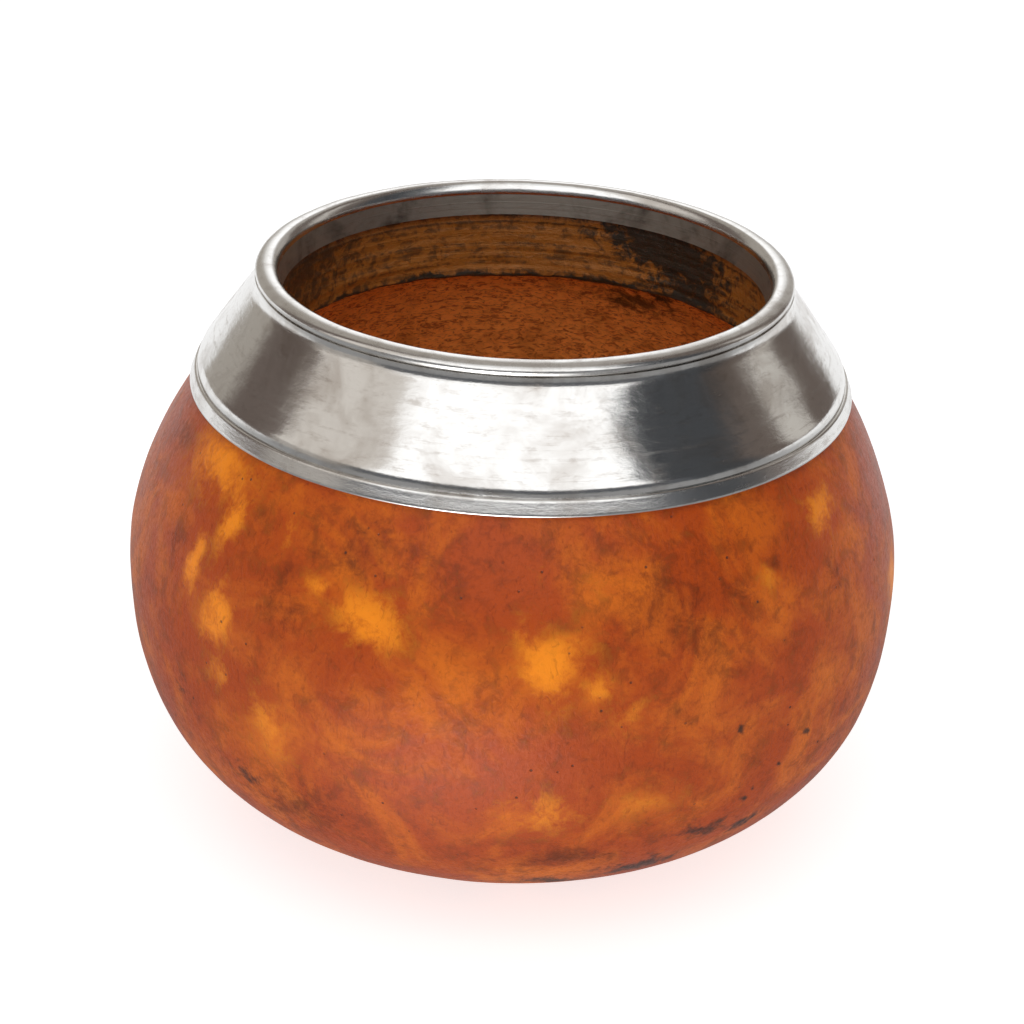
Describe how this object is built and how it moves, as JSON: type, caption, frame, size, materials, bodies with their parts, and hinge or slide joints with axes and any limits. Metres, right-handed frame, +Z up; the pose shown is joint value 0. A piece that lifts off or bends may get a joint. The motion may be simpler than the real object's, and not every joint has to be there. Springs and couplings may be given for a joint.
{
  "type": "mate gourd cup",
  "caption": "Round hollow gourd cup with a flared polished metal collar and rolled lip round an open mouth, for steeping and sipping mate.",
  "frame": {"origin": "centre of the flat spot that the cup rests on, on the cup's axis", "axes": "+Z up along the axis, through the mouth; the cup is turned about +Z"},
  "size_m": [0.095, 0.095, 0.0721],
  "materials": {
    "waxed_rind": "waxed and polished, mottled from amber to red-brown",
    "collar_metal": "polished white metal with fine turning lines and light tarnish"
  },
  "bodies": {
    "root": {"gourd_shell": "waxed_rind", "collar_skirt": "collar_metal", "collar_hem": "collar_metal", "collar_lip": "collar_metal", "collar_sleeve": "collar_metal"}
  },
  "joints": []
}
